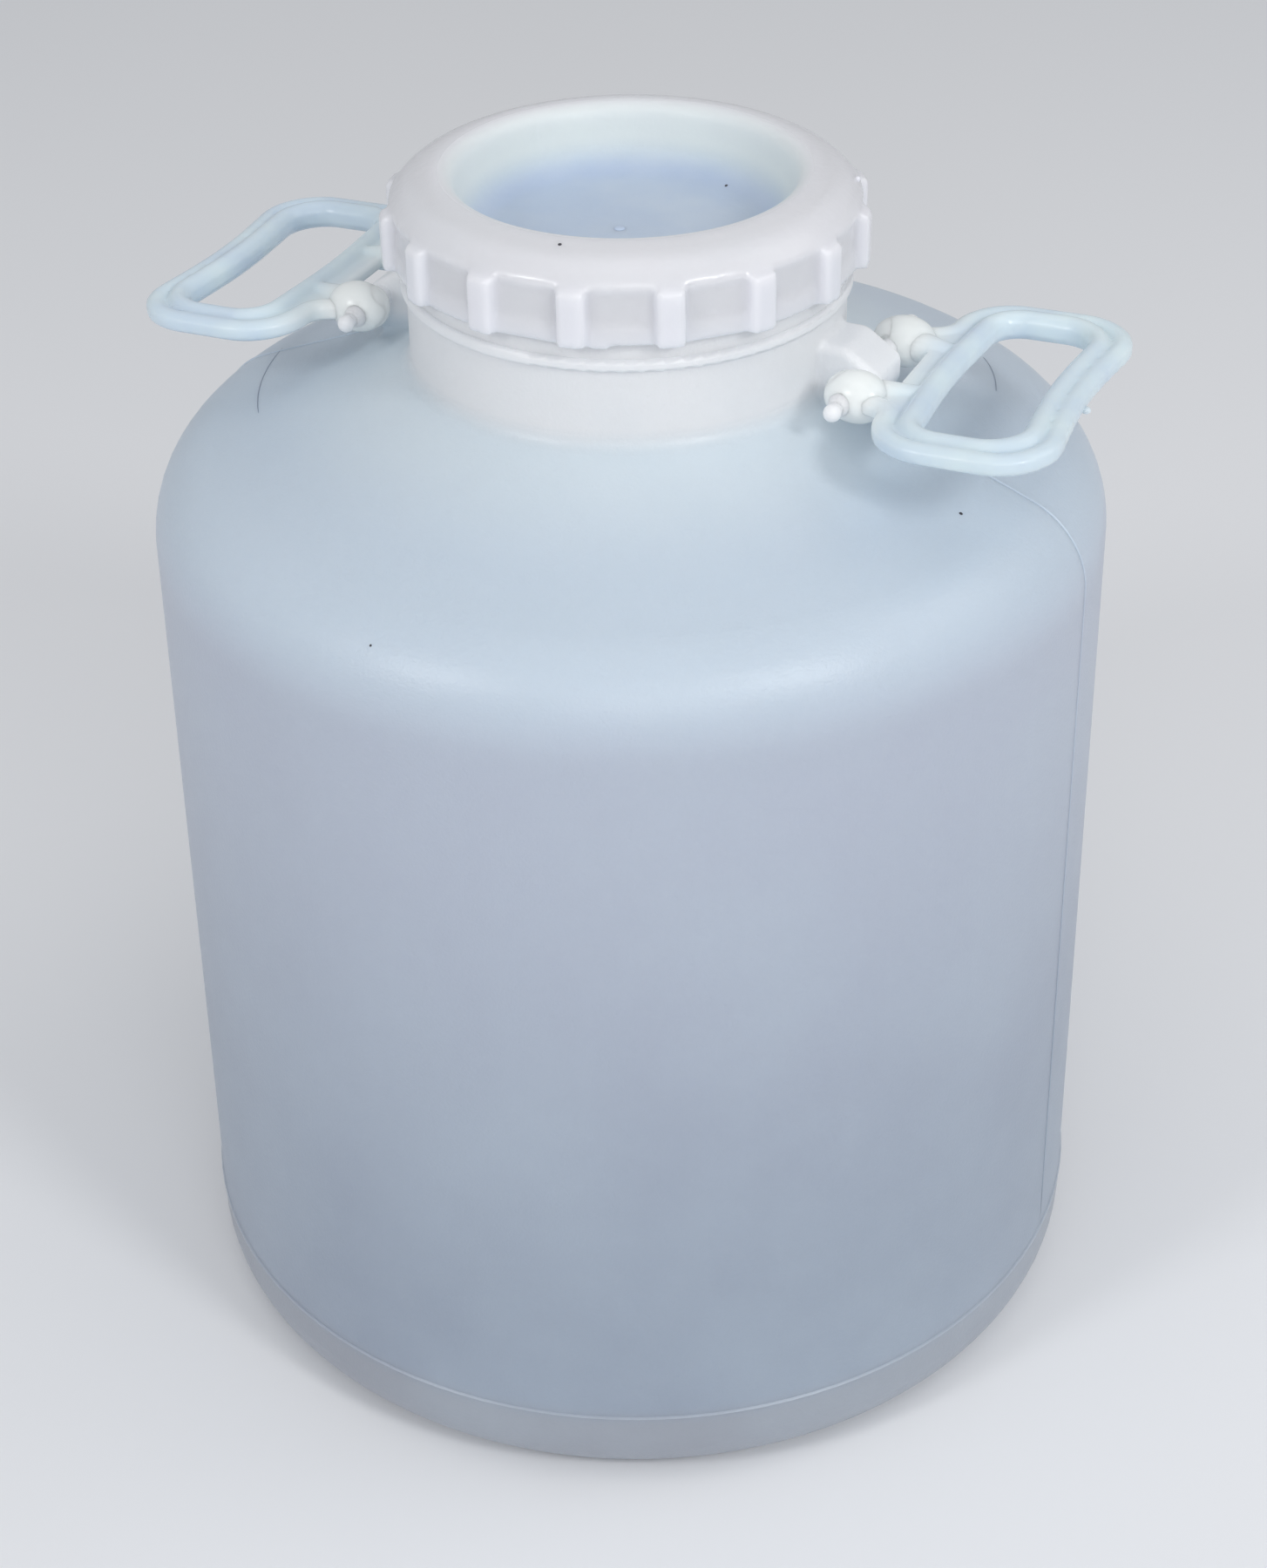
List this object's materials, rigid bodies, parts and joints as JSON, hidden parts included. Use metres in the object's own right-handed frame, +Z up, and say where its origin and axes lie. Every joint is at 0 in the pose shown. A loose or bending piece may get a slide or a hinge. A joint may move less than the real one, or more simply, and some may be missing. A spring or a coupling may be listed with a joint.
{
  "type": "wide-mouth plastic drum",
  "caption": "Cylindrical wide-mouth plastic drum with a rounded shoulder, short neck, ribbed screw cap with a sunk centre, and a hinged loop handle on each side of the neck.",
  "frame": {"origin": "middle of the base, on the plane that the drum stands on", "axes": "+Z up along the drum's axis; the lugs and handles lie on +X (right) and -X (left); the handles' pins run along Y"},
  "size_m": [0.2414, 0.2414, 0.3124],
  "materials": {
    "drum_plastic": "milky translucent, satin gloss",
    "cap_plastic": "milky white, satin gloss",
    "handle_plastic": "pale translucent, glossy"
  },
  "bodies": {
    "drum": {"drum_body": "drum_plastic", "screw_cap": "cap_plastic"},
    "right_handle": {"handle_right": "handle_plastic"},
    "left_handle": {"handle_left": "handle_plastic"}
  },
  "joints": [
    {"name": "right_handle_hinge", "type": "hinge", "parent": "drum", "child": "right_handle", "pos_m": [0.063, 0, 0.27208], "axis": [0, -1, 0], "range_deg": [-28, 84]},
    {"name": "left_handle_hinge", "type": "hinge", "parent": "drum", "child": "left_handle", "pos_m": [-0.063, 0, 0.27208], "axis": [0, 1, 0], "range_deg": [-26, 85]}
  ]
}
